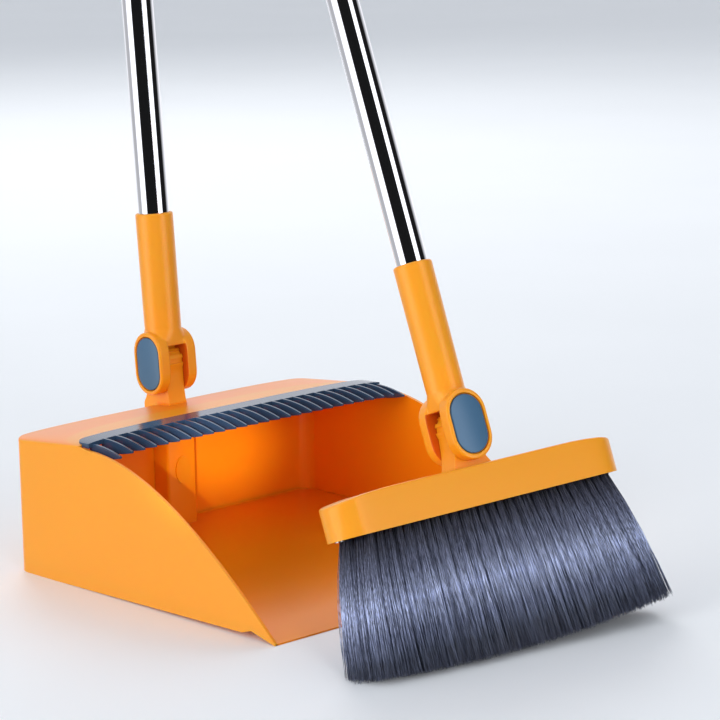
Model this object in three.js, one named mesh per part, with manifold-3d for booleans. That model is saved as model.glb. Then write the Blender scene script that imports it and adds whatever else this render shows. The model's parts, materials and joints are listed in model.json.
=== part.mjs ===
import * as THREE from 'three';
import { mergeVertices } from 'three/addons/utils/BufferGeometryUtils.js';
import Module from 'manifold-3d';

// Long-handled dustpan and broom set. Millimetres, +Z up, +X to the pan's right, the pan's mouth
// faces -Y. The origin is under the middle of the whole set, on the floor.

// ---- Driving dimensions --------------------------------------------------------------------

const GAP = 0.3;                 // clearance between neighbouring pieces

// Dustpan moulding
const PAN_WIDTH = 290;
const PAN_DEPTH = 284;
const PAN_WALL = 2.4;
const PAN_REAR_HEIGHT = 95.6;     // side wall height at the rear corner
const PAN_BROW_HEIGHT = 102.8;   // side wall height where the front edge starts to fall
const PAN_BROW_Y = 195;
const PAN_CORNER_R = 14;         // rear corners, seen from above
const COVER_FRONT_Y = 204;       // front edge of the cover
const COVER_SLOPE_Y = 208;       // the cover climbs from the rear wall to here
const COVER_RISE = 6.8;
const CROWN_RISE = 5.4;          // how far the cover's middle stands above its sides
const CROWN_POWER = 6;
const LIP_RAMP_Y = 24;           // the lip climbs from the floor to here
const LIP_RAMP_Z = 5.7;
const LIP_THICK = 1.1;
const FLOOR_THICK = 2.2;
const FLOOR_REAR_Z = 9.5;        // upper side of the floor at the rear wall
const FLOOR_FILLET = 6;          // where the floor turns up into the rear wall
const SKIRT_FRONT_Y = 33;
const SKIRT_FRONT_Z = 2.9;
const SKIRT_FLAT_Y = 236;        // behind here the skirt stands flat on the floor
const POST_WIDTH = 28;           // hollow post inside the rear wall, under the hinge lug
const POST_FRONT_Y = 265;
const RIB_WIDTH = 21;            // rib outside the rear wall, under the hinge lug
const RIB_TOP_Z = 95;
const PAD_Z = 52;                // oval pad on the post's front face

// Comb
const COMB_BACK_Y = 212.5;
const COMB_ROOT_Y = 199;
const COMB_TIP_Y = 166;
const COMB_TEETH = 27;
const COMB_HALF_SPAN = 136;
const COMB_STRIP_THICK = 1.6;
const TOOTH_THICK = 2.2;
const TOOTH_ROOT_DEPTH = 9.6;
const TOOTH_TIP_DEPTH = 2.4;
const TOOTH_FALL = 0.006;        // how fast the teeth curve down, in mm for each mm squared
const END_TOOTH_DROP = 3;        // the outermost tooth on each side hangs lower

// Hinges: the same fork and lug on the pan and on the broom
const LUG_THICK = 16.2;
const LUG_R = 12;
const EAR_INNER = 8.4;
const EAR_OUTER = 17.8;
const EAR_HALF_WIDTH = 16;
const EAR_HALF_HEIGHT = 24;
const EAR_BEVEL = 1.6;
const CAP_HALF_WIDTH = 13.2;
const CAP_HALF_HEIGHT = 20.4;
const CAP_THICK = 2.4;
const CAP_EDGE = 0.4;            // height of the cap's bevelled edge
const BRIDGE_Z = 12.6;           // underside of the fork's bridge above the pin
const COLLAR_FOOT_Z = 27;
const SHOULDER_HALF_DEPTH = 13;  // front to back, where the collar widens into the ears
const COLLAR_RIM_Z = 113;
const SOCKET_FLOOR_Z = 42;
const PIN_R = 3;
const BOLT_HEAD_R = 5.5;
const BOLT_HEAD_THICK = 3;
const PAN_PIN_Y = 281;
const PAN_PIN_Z = 134;
const PAN_POLE_LEAN = 4.1;       // degrees, towards the back

// Poles
const PAN_POLE_R = 11.7;
const BROOM_POLE_R = 10.8;
const TUBE_WALL = 0.7;
const PAN_JOINT_Z = 345;         // where the two lengths of tube meet, above the pin
const BROOM_JOINT_Z = 385;
const PAN_POLE_TOP_Z = 620;
const BROOM_POLE_TOP_Z = 700;
const JOINT_RING = 7;
const SPIGOT_LENGTH = 26;
const GRIP_LENGTH = 98;         // from the sleeve's foot to the middle of the hanging eye
const GRIP_OVERLAP = 74;
const GRIP_WALL = 2.2;
const HANG_HOLE_R = 7;
const EYE_R = 11;
const EYE_THICK = 8;

// Broom head
const BLOCK_LENGTH = 233;
const BLOCK_THICK = 38;
const BLOCK_HEIGHT = 26.5;
const BLOCK_END_DROP = 4;        // the top falls this far towards both ends
const END_DROP_SPAN = 45;
const BLOCK_WALL = 2.4;
const BROOM_PIN_Z = 54;
const SCREW_INSET = 6.4;         // plate screws, in from the block's ends
const PLATE_THICK = 8;
const PLATE_RECESS = 1.2;
const TUFT_HALF_LENGTH = 106.3;
const TUFT_HALF_THICK = 14;
const BRISTLE_REACH = 98;        // the rear rows are shorter, where they meet the floor
const BRISTLE_FLARE_X = 20;
const BRISTLE_FLARE_Y = 9;
const BROOM_PLACE = [-35.6, -80.8, 88.7];   // middle of the block's underside, from the pan's lip
const BROOM_LEAN = 20.2;
const BROOM_YAW = -9.4;
const BROOM_ROLL = 2.9;

// ---- Solid helpers -------------------------------------------------------------------------

const wasm = await Module();
wasm.setup();

function toSolid(geometry) {
  const bare = geometry.clone();
  bare.deleteAttribute('normal');
  bare.deleteAttribute('uv');
  const merged = mergeVertices(bare, 1e-4);
  const vertProperties = new Float32Array(merged.attributes.position.array);
  const triVerts = new Uint32Array(merged.index.array);
  return new wasm.Manifold(new wasm.Mesh({ numProp: 3, vertProperties, triVerts }));
}

function toGeometry(solid) {
  const mesh = solid.getMesh();
  const geometry = new THREE.BufferGeometry();
  const positions = new Float32Array(mesh.vertProperties);
  geometry.setAttribute('position', new THREE.BufferAttribute(positions, 3));
  geometry.setIndex(new THREE.BufferAttribute(new Uint32Array(mesh.triVerts), 1));
  geometry.computeVertexNormals();
  return geometry;
}

function radians(degrees) {
  return THREE.MathUtils.degToRad(degrees);
}

// Turns a section drawn as (x, y) and extruded along Z into one drawn as (y, z) along X.
const ALONG_X = new THREE.Matrix4().makeBasis(
  new THREE.Vector3(0, 1, 0), new THREE.Vector3(0, 0, 1), new THREE.Vector3(1, 0, 0),
);

// A section drawn as (y, z), given a width along X and centred on x = 0.
function extrudeAlongX(shape, width, steps = 1, curveSegments = 12) {
  const geometry = new THREE.ExtrudeGeometry(shape, {
    depth: width, steps, curveSegments, bevelEnabled: false,
  });
  return geometry.applyMatrix4(ALONG_X).translate(-width / 2, 0, 0);
}

// A plan drawn as (x, y), standing between two heights.
function extrudeUp(shape, low, high, curveSegments = 12) {
  const geometry = new THREE.ExtrudeGeometry(shape, {
    depth: high - low, steps: 1, curveSegments, bevelEnabled: false,
  });
  return geometry.translate(0, 0, low);
}

function box(x0, x1, y0, y1, z0, z1) {
  const geometry = new THREE.BoxGeometry(x1 - x0, y1 - y0, z1 - z0);
  return geometry.translate((x0 + x1) / 2, (y0 + y1) / 2, (z0 + z1) / 2);
}

// A turned piece about the Z axis from its (radius, height) outline.
function turned(points, segments = 32) {
  const outline = points.map(([r, z]) => new THREE.Vector2(r, z));
  return new THREE.LatheGeometry(outline, segments).rotateX(Math.PI / 2);
}

function rod(radius, low, high, segments = 32) {
  return turned([[0, low], [radius, low], [radius, high], [0, high]], segments);
}

function polygon(points) {
  return new THREE.Shape(points.map(([u, v]) => new THREE.Vector2(u, v)));
}

function roundedRect(halfU, halfV, radius) {
  const shape = new THREE.Shape();
  shape.moveTo(-halfU + radius, -halfV);
  shape.lineTo(halfU - radius, -halfV);
  shape.absarc(halfU - radius, -halfV + radius, radius, -Math.PI / 2, 0, false);
  shape.lineTo(halfU, halfV - radius);
  shape.absarc(halfU - radius, halfV - radius, radius, 0, Math.PI / 2, false);
  shape.lineTo(-halfU + radius, halfV);
  shape.absarc(-halfU + radius, halfV - radius, radius, Math.PI / 2, Math.PI, false);
  shape.lineTo(-halfU, -halfV + radius);
  shape.absarc(-halfU + radius, -halfV + radius, radius, Math.PI, Math.PI * 1.5, false);
  return shape;
}

function ellipse(halfU, halfV) {
  const shape = new THREE.Shape();
  shape.absellipse(0, 0, halfU, halfV, 0, Math.PI * 2, false, 0);
  return shape;
}

// ---- Finishes ------------------------------------------------------------------------------

function finish(color, roughness, metalness) {
  return new THREE.MeshStandardMaterial({ color, roughness, metalness });
}

const orange = finish(0xf5a02e, 0.4, 0);
const slate = finish(0x5c80a0, 0.45, 0);
const chrome = finish(0xd8dce2, 0.08, 1);
const zinc = finish(0xa8abb0, 0.35, 1);
const grey = finish(0x6e7278, 0.5, 0);
const bristle = finish(0x5c5f78, 0.8, 0);

function piece(name, geometry, material) {
  const mesh = new THREE.Mesh(geometry, material);
  mesh.name = name;
  return mesh;
}

// ---- Dustpan moulding ----------------------------------------------------------------------

const halfPan = PAN_WIDTH / 2;

// Height of the crowned cover above the straight line between its two sides.
function crown(x) {
  const share = Math.min(Math.abs(x) / halfPan, 1);
  return CROWN_RISE * (1 - share ** CROWN_POWER) ** (1 / CROWN_POWER);
}

function coverLine(y) {
  return PAN_REAR_HEIGHT + COVER_RISE * (PAN_DEPTH - y) / (PAN_DEPTH - COVER_SLOPE_Y);
}

// The side wall's falling front edge, from the brow down to the lip.
const FRONT_EDGE = new THREE.CubicBezierCurve(
  new THREE.Vector2(PAN_BROW_Y, PAN_BROW_HEIGHT),
  new THREE.Vector2(130, 103),
  new THREE.Vector2(62, 56),
  new THREE.Vector2(0, LIP_THICK),
);

// Bunches the sections of an X extrusion towards both ends and lifts the crowned top.
function bendCover(geometry, halfWidth, startY, endY, floorZ) {
  const position = geometry.attributes.position;
  for (let i = 0; i < position.count; i += 1) {
    const x = halfWidth * Math.sin((position.getX(i) / halfWidth) * Math.PI / 2);
    const fade = THREE.MathUtils.smoothstep(position.getY(i), startY, endY);
    position.setX(i, x);
    if (position.getZ(i) > floorZ) position.setZ(i, position.getZ(i) + crown(x) * fade);
  }
  return geometry;
}

function panOutside() {
  const shape = polygon([
    [0, 0], [LIP_RAMP_Y, LIP_RAMP_Z], [SKIRT_FRONT_Y, SKIRT_FRONT_Z], [SKIRT_FLAT_Y, 0],
    [PAN_DEPTH, 0],
    [PAN_DEPTH, PAN_REAR_HEIGHT], [COVER_SLOPE_Y, coverLine(COVER_SLOPE_Y)],
    ...FRONT_EDGE.getPoints(16).map((point) => [point.x, point.y]),
  ]);
  const slab = bendCover(extrudeAlongX(shape, PAN_WIDTH, 22), halfPan, 165, COVER_SLOPE_Y, 60);
  const plan = roundedRect(halfPan, PAN_DEPTH, PAN_CORNER_R);
  return toSolid(slab).intersect(toSolid(extrudeUp(plan, -5, 130, 8)));
}

function panInside() {
  const innerDepth = PAN_DEPTH - PAN_WALL;
  const innerWidth = PAN_WIDTH - 2 * PAN_WALL;
  const lipTop = LIP_RAMP_Z + FLOOR_THICK;
  const shape = new THREE.Shape();
  shape.moveTo(-30, LIP_THICK - 7);
  shape.lineTo(0, LIP_THICK);
  shape.lineTo(LIP_RAMP_Y - 2, lipTop);
  shape.lineTo(innerDepth - FLOOR_FILLET, FLOOR_REAR_Z);
  shape.quadraticCurveTo(innerDepth, FLOOR_REAR_Z, innerDepth, FLOOR_REAR_Z + FLOOR_FILLET);
  shape.lineTo(innerDepth, coverLine(innerDepth) - PAN_WALL);
  shape.lineTo(COVER_FRONT_Y, coverLine(COVER_FRONT_Y) - PAN_WALL);
  shape.lineTo(COVER_FRONT_Y, 130);
  shape.lineTo(-30, 130);
  const slab = extrudeAlongX(shape, innerWidth, 22, 4);
  const bent = bendCover(slab, innerWidth / 2, COVER_FRONT_Y - 4, COVER_FRONT_Y, 60);
  const plan = roundedRect(innerWidth / 2, innerDepth, PAN_CORNER_R - PAN_WALL);
  return toSolid(bent).intersect(toSolid(extrudeUp(plan, -20, 140, 8)));
}

function panUnderside() {
  const floorLow = FLOOR_REAR_Z - FLOOR_THICK;
  const shape = polygon([
    [LIP_RAMP_Y + 4, -5], [SKIRT_FRONT_Y, LIP_RAMP_Z], [PAN_DEPTH - PAN_WALL, floorLow],
    [PAN_DEPTH - PAN_WALL, -5],
  ]);
  const plan = roundedRect(halfPan - PAN_WALL, PAN_DEPTH - PAN_WALL, PAN_CORNER_R - PAN_WALL);
  return toSolid(extrudeAlongX(shape, PAN_WIDTH))
    .intersect(toSolid(extrudeUp(plan, -6, 40, 8)));
}

// The hinge lug's outline about the pin, drawn as (across, up): a round head on a straight neck,
// with two click notches cut in the top of the head.
function lugOutline(neckFoot, footHalf) {
  const shape = new THREE.Shape();
  shape.moveTo(-footHalf, neckFoot);
  shape.lineTo(footHalf, neckFoot);
  shape.lineTo(LUG_R, neckFoot + 8);
  shape.absarc(0, 0, LUG_R, 0, Math.PI, false);
  shape.lineTo(-LUG_R, neckFoot + 8);
  return shape;
}

function clickNotches() {
  const cuts = [-50, -18, 18, 50].map((degrees) => {
    const notch = box(-LUG_THICK, LUG_THICK, -1.8, 1.8, LUG_R - 1.4, LUG_R + 3);
    return toSolid(notch.rotateX(radians(degrees)));
  });
  return cuts.reduce((all, cut) => all.add(cut));
}

function hingeLug(neckFoot, footHalf) {
  const lug = toSolid(extrudeAlongX(lugOutline(neckFoot, footHalf), LUG_THICK, 1, 10));
  const bore = toSolid(rod(PIN_R + 0.2, -30, 30, 20).rotateY(Math.PI / 2));
  return lug.subtract(clickNotches()).subtract(bore);
}

function panShell() {
  const neckFoot = RIB_TOP_Z - 25 - PAN_PIN_Z;
  const lug = hingeLug(neckFoot, LUG_R + 1).translate([0, PAN_PIN_Y, PAN_PIN_Z]);
  const postBack = PAN_PIN_Y + LUG_R + 1;
  const halfPost = POST_WIDTH / 2;
  const halfRib = RIB_WIDTH / 2;
  const postTop = coverLine(POST_FRONT_Y) + CROWN_RISE - 1;
  const post = toSolid(box(-halfPost, halfPost, POST_FRONT_Y, PAN_DEPTH - 1, 5, postTop));
  const rib = toSolid(box(-halfRib, halfRib, PAN_DEPTH - 2, postBack, 0, RIB_TOP_Z));
  const hollow = toSolid(box(
    -halfRib + PAN_WALL, halfRib - PAN_WALL, POST_FRONT_Y + PAN_WALL, postBack - PAN_WALL,
    -5, PAN_PIN_Z + neckFoot - 2,
  ));
  const pad = extrudeUp(ellipse(7, 10.5), 0, 2, 6).rotateX(Math.PI / 2);
  const ring = toSolid(pad.translate(0, POST_FRONT_Y + 1.2, PAD_Z));
  return panOutside().subtract(panInside()).subtract(panUnderside())
    .add(post).add(rib).add(ring).subtract(hollow).add(lug);
}

// ---- Comb on the cover's front edge ---------------------------------------------------------

function combHeight(y) {
  const fall = Math.max(PAN_BROW_Y - y, 0);
  return coverLine(Math.max(y, COVER_SLOPE_Y)) + 0.4 + COMB_STRIP_THICK - TOOTH_FALL * fall ** 2;
}

function combStrip() {
  const hookBack = COVER_FRONT_Y - GAP;
  const under = coverLine(COVER_FRONT_Y) - PAN_WALL;
  const shape = polygon([
    [COMB_BACK_Y, coverLine(COMB_BACK_Y) + GAP],
    [COMB_BACK_Y, combHeight(COMB_BACK_Y)],
    [COMB_ROOT_Y - 3, combHeight(COMB_ROOT_Y)],
    [COMB_ROOT_Y - 3, under + 0.6],
    [hookBack, under + 0.6],
    [hookBack, coverLine(COVER_FRONT_Y) + GAP],
  ]);
  const halfWidth = halfPan - PAN_WALL - GAP;
  const strip = extrudeAlongX(shape, halfWidth * 2, 22);
  return toSolid(bendCover(strip, halfWidth, 0, 1, 0));
}

function combTooth(x) {
  const rise = crown(x) - (Math.abs(x) < COMB_HALF_SPAN ? 0 : END_TOOTH_DROP);
  const top = [];
  const bottom = [];
  [0, 0.2, 0.4, 0.6, 0.8, 1].forEach((share) => {
    const y = THREE.MathUtils.lerp(COMB_ROOT_Y, COMB_TIP_Y, share);
    const depth = THREE.MathUtils.lerp(TOOTH_ROOT_DEPTH, TOOTH_TIP_DEPTH, share);
    top.push([y, combHeight(y) + rise]);
    bottom.unshift([y, combHeight(y) + rise - depth]);
  });
  return toSolid(extrudeAlongX(polygon([...top, ...bottom]), TOOTH_THICK).translate(x, 0, 0));
}

function comb() {
  let solid = combStrip();
  for (let i = 0; i < COMB_TEETH; i += 1) {
    const x = THREE.MathUtils.lerp(-COMB_HALF_SPAN, COMB_HALF_SPAN, i / (COMB_TEETH - 1));
    solid = solid.add(combTooth(x));
  }
  return solid;
}

// ---- Hinge fork and pole, drawn about the pin with the pole along +Z ---------------------------

// An upright stadium, drawn a little narrower than a half circle so that its ends stay separate.
function upright(halfWidth, halfHeight) {
  return roundedRect(halfWidth, halfHeight, halfWidth - 0.2);
}

function earSolid(side) {
  const width = EAR_OUTER - EAR_INNER;
  const oval = upright(EAR_HALF_WIDTH, EAR_HALF_HEIGHT);
  const bevelled = upright(EAR_HALF_WIDTH - EAR_BEVEL, EAR_HALF_HEIGHT - EAR_BEVEL);
  const inner = extrudeAlongX(oval, width - EAR_BEVEL, 1, 7);
  const outer = extrudeAlongX(bevelled, width, 1, 7);
  const middle = side * (EAR_INNER + width / 2);
  return toSolid(inner.translate(middle - side * EAR_BEVEL / 2, 0, 0))
    .add(toSolid(outer.translate(middle, 0, 0))).hull();
}

function earPockets(side) {
  const middle = side * (EAR_OUTER - CAP_THICK / 2);
  const oval = upright(CAP_HALF_WIDTH + GAP, CAP_HALF_HEIGHT + GAP);
  const pocket = extrudeAlongX(oval, CAP_THICK + 1.2, 1, 8).translate(middle, 0, 0);
  const sink = rod(BOLT_HEAD_R + 1, 0, BOLT_HEAD_THICK + 6, 24).rotateY(Math.PI / 2 * side);
  const depth = EAR_OUTER - CAP_THICK - BOLT_HEAD_THICK - 1;
  return toSolid(pocket).add(toSolid(sink.translate(side * depth, 0, 0)));
}

function fork(poleRadius) {
  const rim = poleRadius + 2.5;
  const collar = turned([
    [0, BRIDGE_Z], [rim - 1.5, BRIDGE_Z], [rim - 0.5, COLLAR_FOOT_Z], [rim, COLLAR_RIM_Z - 1],
    [rim - 1, COLLAR_RIM_Z], [0, COLLAR_RIM_Z],
  ], 28);
  const wide = roundedRect(EAR_OUTER - EAR_BEVEL / 2, SHOULDER_HALF_DEPTH, 6);
  const shoulder = toSolid(extrudeUp(wide, 3, BRIDGE_Z + 1, 4))
    .add(toSolid(rod(rim - 0.5, COLLAR_FOOT_Z - 1, COLLAR_FOOT_Z, 28))).hull();
  const slot = box(-EAR_INNER, EAR_INNER, -40, 40, -40, BRIDGE_Z);
  const socket = rod(poleRadius + GAP, SOCKET_FLOOR_Z, COLLAR_RIM_Z + 5, 28);
  const bore = rod(PIN_R + 0.2, -30, 30, 16).rotateY(Math.PI / 2);
  return toSolid(collar).add(shoulder).add(earSolid(1)).add(earSolid(-1))
    .subtract(toSolid(slot)).subtract(toSolid(socket)).subtract(toSolid(bore))
    .subtract(earPockets(1)).subtract(earPockets(-1));
}

function cap(side) {
  const oval = upright(CAP_HALF_WIDTH - 1, CAP_HALF_HEIGHT - 1);
  const flat = CAP_THICK - 2 * CAP_EDGE;
  const geometry = new THREE.ExtrudeGeometry(oval, {
    depth: flat, steps: 1, curveSegments: 8, bevelEnabled: true, bevelThickness: CAP_EDGE,
    bevelSize: 1, bevelSegments: 2,
  });
  const middle = side * (EAR_OUTER - CAP_THICK / 2);
  return geometry.applyMatrix4(ALONG_X).translate(middle - flat / 2, 0, 0);
}

const BOLT_SEAT = EAR_OUTER - CAP_THICK - BOLT_HEAD_THICK - 1;

function hingeBolt() {
  const outline = [
    [0, -BOLT_SEAT - 2.6], [PIN_R, -BOLT_SEAT - 2.6], [PIN_R, BOLT_SEAT + GAP],
    [BOLT_HEAD_R, BOLT_SEAT + GAP], [BOLT_HEAD_R, BOLT_SEAT + 2], [4, BOLT_SEAT + 2.6],
    [0, BOLT_SEAT + 2.6],
  ];
  return turned(outline, 20).rotateY(-Math.PI / 2);
}

function hingeNut() {
  const hexagon = toSolid(rod(5.4, BOLT_SEAT + GAP, BOLT_SEAT + 2.6, 6));
  const thread = toSolid(rod(PIN_R + 0.2, 0, 30, 20));
  return toGeometry(hexagon.subtract(thread)).rotateY(Math.PI / 2);
}

function tube(radius, low, high) {
  const inner = radius - TUBE_WALL;
  return turned([[inner, low], [radius, low], [radius, high], [inner, high], [inner, low]], 32);
}

// Threaded plug pressed into the tube's foot, screwed down on the socket's floor.
function polePlug(radius) {
  const inner = radius - TUBE_WALL - GAP;
  const foot = SOCKET_FLOOR_Z + GAP;
  return turned([
    [0, foot], [radius - 0.4, foot], [radius - 0.4, foot + 3], [inner, foot + 3],
    [inner, foot + 30], [inner - 2, foot + 32], [0, foot + 32],
  ], 24);
}

// Plastic joiner: a visible ring between the two lengths of tube and a spigot inside each.
function poleJoiner(radius, jointZ) {
  const inner = radius - TUBE_WALL - GAP;
  const half = JOINT_RING / 2;
  return turned([
    [0, jointZ - SPIGOT_LENGTH], [inner, jointZ - SPIGOT_LENGTH], [inner, jointZ - half],
    [radius + 0.8, jointZ - half], [radius + 0.8, jointZ + half], [inner, jointZ + half],
    [inner, jointZ + SPIGOT_LENGTH], [0, jointZ + SPIGOT_LENGTH],
  ], 28);
}

// End grip: a ribbed sleeve over the tube, drawn out into a flat eye for hanging.
function poleGrip(radius, top) {
  const foot = top - GRIP_OVERLAP;
  const outer = radius + GRIP_WALL;
  const outline = [[0, foot], [outer - 0.6, foot], [outer, foot + 3]];
  for (let i = 0; i < 5; i += 1) {
    const z = foot + 12 + i * 11;
    outline.push([outer + 0.6, z], [outer - 0.5, z + 2], [outer - 0.5, z + 5], [outer + 0.6, z + 7]);
  }
  outline.push([outer, top], [outer - 2, top + 8], [outer - 5, top + 12], [0, top + 12]);
  const eye = new THREE.Shape();
  eye.moveTo(-EYE_R, top);
  eye.lineTo(EYE_R, top);
  eye.lineTo(EYE_R, foot + GRIP_LENGTH);
  eye.absarc(0, foot + GRIP_LENGTH, EYE_R, 0, Math.PI, false);
  eye.closePath();
  const flat = extrudeAlongX(eye, EYE_THICK, 1, 8);
  const hole = rod(HANG_HOLE_R, -20, 20, 16).rotateY(Math.PI / 2)
    .translate(0, 0, foot + GRIP_LENGTH);
  const socket = rod(radius + 2 * GAP, foot - 5, top + GAP, 20);
  return toSolid(turned(outline, 20)).add(toSolid(flat)).subtract(toSolid(hole))
    .subtract(toSolid(socket));
}

function poleAssembly(label, radius, jointZ, topZ) {
  const group = new THREE.Group();
  const half = JOINT_RING / 2;
  const plugTop = SOCKET_FLOOR_Z + 3 + 2 * GAP;
  group.add(
    piece(`${label}_hinge_fork`, toGeometry(fork(radius)), orange),
    piece(`${label}_hinge_cap_left`, cap(-1), slate),
    piece(`${label}_hinge_cap_right`, cap(1), slate),
    piece(`${label}_hinge_bolt`, hingeBolt(), zinc),
    piece(`${label}_hinge_nut`, hingeNut(), zinc),
    piece(`${label}_pole_plug`, polePlug(radius), grey),
    piece(`${label}_pole_lower_tube`, tube(radius, plugTop, jointZ - half - GAP), chrome),
    piece(`${label}_pole_joiner`, poleJoiner(radius, jointZ), orange),
    piece(`${label}_pole_upper_tube`, tube(radius, jointZ + half + GAP, topZ), chrome),
    piece(`${label}_pole_grip`, toGeometry(poleGrip(radius, topZ)), orange),
  );
  return group;
}

// ---- Broom head ----------------------------------------------------------------------------

function stadium(length, thick) {
  return roundedRect(length / 2, thick / 2, thick / 2 - 0.1);
}

function dropEnds(geometry, amount) {
  const position = geometry.attributes.position;
  const start = BLOCK_LENGTH / 2 - END_DROP_SPAN;
  for (let i = 0; i < position.count; i += 1) {
    const beyond = Math.max(Math.abs(position.getX(i)) - start, 0) / END_DROP_SPAN;
    if (position.getZ(i) > 5) position.setZ(i, position.getZ(i) - amount * beyond ** 2);
  }
  return geometry;
}

// The block's plan: a long stadium, with extra points on its straight sides near both ends.
function blockPlan(length, thick) {
  const half = length / 2 - thick / 2;
  const shape = new THREE.Shape();
  const stations = [0, 73, 82, 90, half].filter((x) => x <= half);
  shape.moveTo(0, -thick / 2);
  stations.slice(1).forEach((x) => shape.lineTo(x, -thick / 2));
  shape.absarc(half, 0, thick / 2, -Math.PI / 2, Math.PI / 2, false);
  stations.slice().reverse().forEach((x) => shape.lineTo(x, thick / 2));
  stations.slice(1).forEach((x) => shape.lineTo(-x, thick / 2));
  shape.absarc(-half, 0, thick / 2, Math.PI / 2, Math.PI * 1.5, false);
  stations.slice(1, -1).reverse().forEach((x) => shape.lineTo(-x, -thick / 2));
  return shape;
}

function broomBlock() {
  const outer = new THREE.ExtrudeGeometry(blockPlan(BLOCK_LENGTH - 3, BLOCK_THICK - 3), {
    depth: BLOCK_HEIGHT - 1.5, steps: 1, curveSegments: 10, bevelEnabled: true,
    bevelThickness: 1.5, bevelSize: 1.5, bevelSegments: 2,
  });
  const squareFoot = extrudeUp(blockPlan(BLOCK_LENGTH, BLOCK_THICK), 0, 3, 10);
  const inner = extrudeUp(
    blockPlan(BLOCK_LENGTH - 2 * BLOCK_WALL, BLOCK_THICK - 2 * BLOCK_WALL),
    -5, BLOCK_HEIGHT - BLOCK_WALL, 8,
  );
  const below = box(-200, 200, -50, 50, -20, 0);
  const neckFoot = BLOCK_HEIGHT - 1 - BROOM_PIN_Z;
  const lug = hingeLug(neckFoot, LUG_R + 2).rotate([0, 0, 90]).translate([0, 0, BROOM_PIN_Z]);
  return toSolid(dropEnds(outer, BLOCK_END_DROP)).subtract(toSolid(below))
    .add(toSolid(squareFoot)).subtract(toSolid(dropEnds(inner, BLOCK_END_DROP)))
    .add(lug);
}

function tuftPlate() {
  const inset = 2 * (BLOCK_WALL + GAP);
  const plan = blockPlan(BLOCK_LENGTH - inset, BLOCK_THICK - inset);
  const plate = extrudeUp(plan, PLATE_RECESS, PLATE_RECESS + PLATE_THICK, 8);
  const holes = [-1, 1].map((side) => toSolid(
    rod(2.2, -5, 20, 12).translate(side * (BLOCK_LENGTH / 2 - SCREW_INSET), 0, 0),
  ));
  return toSolid(plate).subtract(holes[0]).subtract(holes[1]);
}

function plateScrew() {
  const foot = PLATE_RECESS - GAP - 1.6;
  return turned([
    [0, foot], [3.2, foot], [3.2, foot + 1.6], [1.7, foot + 1.6], [1.7, foot + 12],
    [0.5, foot + 14], [0, foot + 14],
  ], 14);
}

// The bristles as one closed bundle: narrow at the plate and flared at the tips, where the floor
// stops the rear rows.
function bristlePack(intoFloor) {
  const top = PLATE_RECESS - GAP;
  const plan = roundedRect(TUFT_HALF_LENGTH, TUFT_HALF_THICK, TUFT_HALF_THICK - 1);
  const bundle = extrudeUp(plan, -BRISTLE_REACH, top, 6);
  const position = bundle.attributes.position;
  for (let i = 0; i < position.count; i += 1) {
    if (position.getZ(i) > top - 1) continue;
    position.setX(i, position.getX(i) * (1 + BRISTLE_FLARE_X / TUFT_HALF_LENGTH));
    position.setY(i, position.getY(i) * (1 + BRISTLE_FLARE_Y / TUFT_HALF_THICK));
  }
  const ground = box(-900, 900, -900, 900, -900, 0).applyMatrix4(intoFloor);
  return toSolid(bundle).subtract(toSolid(ground));
}

// ---- The whole set -------------------------------------------------------------------------

function dustpan() {
  const group = new THREE.Group();
  const pole = poleAssembly('pan', PAN_POLE_R, PAN_JOINT_Z, PAN_POLE_TOP_Z);
  pole.position.set(0, PAN_PIN_Y, PAN_PIN_Z);
  pole.rotation.x = radians(-PAN_POLE_LEAN);
  group.add(
    piece('pan_shell', toGeometry(panShell()), orange),
    piece('comb_strip', toGeometry(comb()), slate),
    pole,
  );
  return group;
}

function broom() {
  const group = new THREE.Group();
  group.position.set(...BROOM_PLACE);
  group.rotation.set(radians(-BROOM_LEAN), radians(-BROOM_ROLL), radians(BROOM_YAW), 'ZXY');
  group.updateMatrix();
  const intoFloor = group.matrix.clone().invert();
  const pole = poleAssembly('broom', BROOM_POLE_R, BROOM_JOINT_Z, BROOM_POLE_TOP_Z);
  pole.position.set(0, 0, BROOM_PIN_Z);
  pole.rotation.z = Math.PI / 2;
  const screws = ['left', 'right'].map((side, i) => {
    const screw = piece(`plate_screw_${side}`, plateScrew(), zinc);
    screw.position.x = (i * 2 - 1) * (BLOCK_LENGTH / 2 - SCREW_INSET);
    return screw;
  });
  group.add(
    piece('broom_block', toGeometry(broomBlock()), orange),
    piece('tuft_plate', toGeometry(tuftPlate()), slate),
    piece('bristle_pack', toGeometry(bristlePack(intoFloor)), bristle),
    ...screws,
    pole,
  );
  return group;
}

const set = new THREE.Group();
set.add(dustpan(), broom());
set.updateMatrixWorld(true);

// Puts the origin under the middle of the set's bounding box.
const extent = new THREE.Box3().setFromObject(set, true);
const middle = extent.getCenter(new THREE.Vector3());
const whole = new THREE.Group();
set.position.set(-middle.x, -middle.y, -extent.min.z);
whole.add(set);

export default whole;
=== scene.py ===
import json
import math
import random

import bmesh
import bpy
from mathutils import Matrix, Vector, geometry

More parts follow.
